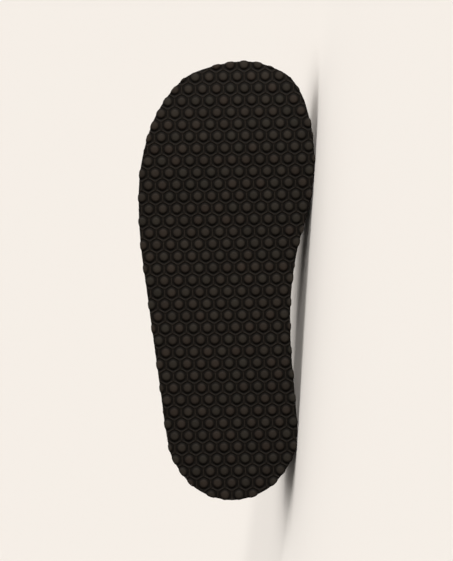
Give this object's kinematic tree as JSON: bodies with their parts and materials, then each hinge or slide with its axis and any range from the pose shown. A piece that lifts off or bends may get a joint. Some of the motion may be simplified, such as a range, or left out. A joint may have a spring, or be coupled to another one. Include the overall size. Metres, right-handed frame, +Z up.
{
  "type": "wool slipper",
  "caption": "Low closed-back house slipper for the right foot: grey wool felt upper and insole on a thin black rubber sole with round studs, lying on its inner side.",
  "frame": {"origin": "on the floor, under the middle of the box of the lying slipper", "axes": "+X from heel to toe, +Y from the tread towards the collar, +Z up with the outer side of the foot on top"},
  "size_m": [0.265, 0.0752, 0.1047],
  "materials": {
    "rubber": "warm black moulded rubber, matt, with round studs",
    "insole_felt": "pale undyed wool felt",
    "felt": "thick grey mottled wool felt"
  },
  "bodies": {
    "root": {"outsole": "rubber", "insole": "insole_felt", "upper": "felt"}
  },
  "joints": []
}
